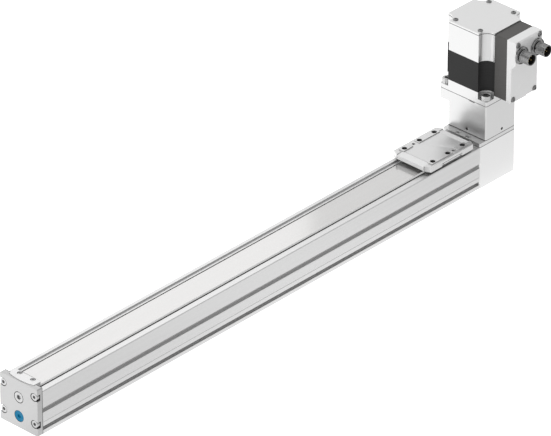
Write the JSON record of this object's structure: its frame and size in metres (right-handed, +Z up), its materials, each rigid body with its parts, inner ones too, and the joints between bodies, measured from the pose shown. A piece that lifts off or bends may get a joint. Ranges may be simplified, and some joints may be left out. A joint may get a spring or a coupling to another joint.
{
  "type": "belt driven linear axis",
  "caption": "Slim electric linear axis: a slide on a covered aluminium profile, driven by a toothed belt from an upright stepper motor with its own electronics.",
  "frame": {"origin": "middle of the profile's underside", "axes": "+X along the profile towards the drive end, -Y the side of the electronics, +Z up"},
  "size_m": [0.6243, 0.094, 0.1593],
  "materials": {
    "profile_aluminium": "natural anodised, satin",
    "motor_aluminium": "blasted, satin",
    "laminated_steel": "black, satin",
    "steel": "ground",
    "strip_steel": "bright strip, satin",
    "screw_steel": "zinc plated",
    "slide_aluminium": "natural anodised, satin",
    "pulley_aluminium": "machined",
    "belt_rubber": "light polyurethane, matt",
    "buffer_rubber": "matt",
    "spider_rubber": "matt",
    "guide_plastic": "light moulded",
    "dark_frame": "dark coated, matt",
    "cover_plastic": "light grey moulded",
    "circuit_board": "green, flat",
    "magnet": "sintered",
    "blue_plastic": "moulded",
    "nickel": "nickel plated, satin",
    "insert_plastic": "black moulded",
    "gold": "gold plated"
  },
  "bodies": {
    "frame": {"profile": "profile_aluminium", "guide_rail": "steel", "rail_screws": "screw_steel", "cover_strip": "strip_steel", "end_cap": "profile_aluminium", "end_cap_screws": "screw_steel", "strip_clamp": "profile_aluminium", "strip_screws": "screw_steel", "tension_screw": "screw_steel", "idler_yoke": "pulley_aluminium", "idler_pin": "steel", "idler_bearing_inner_rings": "steel", "port_plug": "blue_plastic", "end_buffers": "buffer_rubber", "drive_housing": "profile_aluminium", "drive_housing_screws": "screw_steel", "top_plate": "profile_aluminium", "shaft_bearing_outer_rings": "steel", "coupling_housing": "profile_aluminium", "coupling_housing_screws": "screw_steel", "toothed_belt": "belt_rubber", "motor_flange": "motor_aluminium", "motor_screws": "screw_steel", "stator_stack": "laminated_steel", "motor_rear_housing": "motor_aluminium", "encoder_board": "circuit_board", "motor_cover": "motor_aluminium", "motor_cover_screws": "screw_steel", "electronics_frame": "dark_frame", "circuit_board": "circuit_board", "electronics_cover": "cover_plastic", "electronics_screws": "screw_steel", "power_connector": "nickel", "signal_connector": "nickel", "connector_inserts": "insert_plastic", "connector_pins": "gold"},
    "slide": {"slide_body": "slide_aluminium", "strip_guides": "guide_plastic", "saddle_plate": "steel", "saddle_screws": "screw_steel", "carriage_block": "steel", "carriage_ends": "guide_plastic", "carriage_screws": "screw_steel", "lube_covers": "guide_plastic", "lube_cover_screws": "screw_steel", "belt_clamp_jaw": "pulley_aluminium", "belt_clamp_plate": "steel", "belt_clamp_screws": "screw_steel"},
    "drive_train": {"drive_shaft": "steel", "drive_pulley": "pulley_aluminium", "shaft_bearing_inner_rings": "steel", "lower_coupling_hub": "pulley_aluminium", "upper_coupling_hub": "pulley_aluminium", "coupling_spider": "spider_rubber", "coupling_set_screws": "screw_steel", "rotor": "laminated_steel", "motor_shaft": "steel", "encoder_magnet": "magnet"},
    "idler": {"idler_pulley": "pulley_aluminium", "idler_bearing_outer_rings": "steel"}
  },
  "joints": [
    {"name": "slide_travel", "type": "slide", "parent": "frame", "child": "slide", "axis": [-1, 0, 0], "range_m": [-0.004, 0.48], "deforming": ["toothed_belt"]},
    {"name": "drive_turn", "type": "hinge", "parent": "frame", "child": "drive_train", "pos_m": [0.3096, 0, 0.0305], "axis": [0, 0, 1], "continuous": true},
    {"name": "idler_turn", "type": "hinge", "parent": "frame", "child": "idler", "pos_m": [-0.2554, 0, 0.0305], "axis": [0, 0, 1], "continuous": true}
  ],
  "couplings": [
    {"joint": "drive_turn", "follows": "slide_travel", "rad_per_m": 104.72},
    {"joint": "idler_turn", "follows": "slide_travel", "rad_per_m": 104.72}
  ]
}
